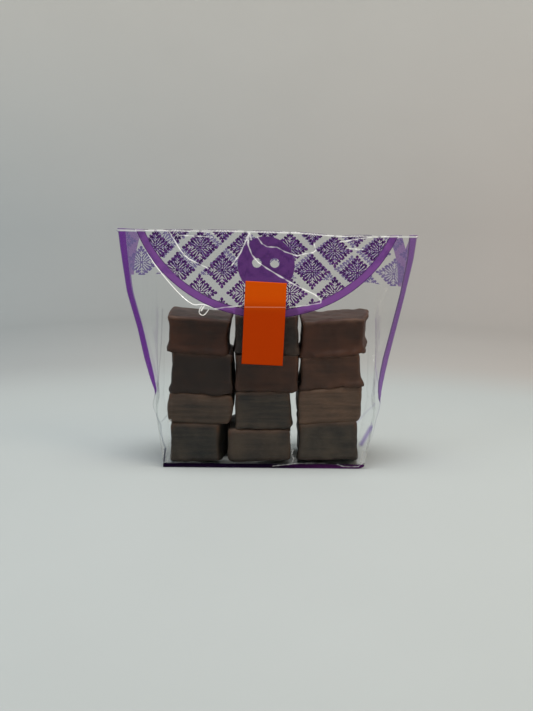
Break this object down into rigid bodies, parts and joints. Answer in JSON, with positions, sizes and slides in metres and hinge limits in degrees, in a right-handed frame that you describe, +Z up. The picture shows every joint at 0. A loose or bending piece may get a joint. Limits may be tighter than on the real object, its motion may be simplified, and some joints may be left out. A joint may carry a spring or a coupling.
{
  "type": "bag of chocolate-coated marshmallows",
  "caption": "Clear stand-up film bag of chocolate-coated marshmallow slabs, folded shut under a round printed flap and a paper label.",
  "frame": {"origin": "middle of the flat base, under the centre of the part's box", "axes": "+Z up, -Y towards the front panel with the flap and label, +X to the right seen from the front"},
  "size_m": [0.158, 0.0482, 0.1267],
  "materials": {
    "film": "clear glossy film with a purple print",
    "label_paper": "smooth coated paper, plain orange"
  },
  "bodies": {
    "root": {"bag": "film", "label": "label_paper"}
  },
  "joints": []
}
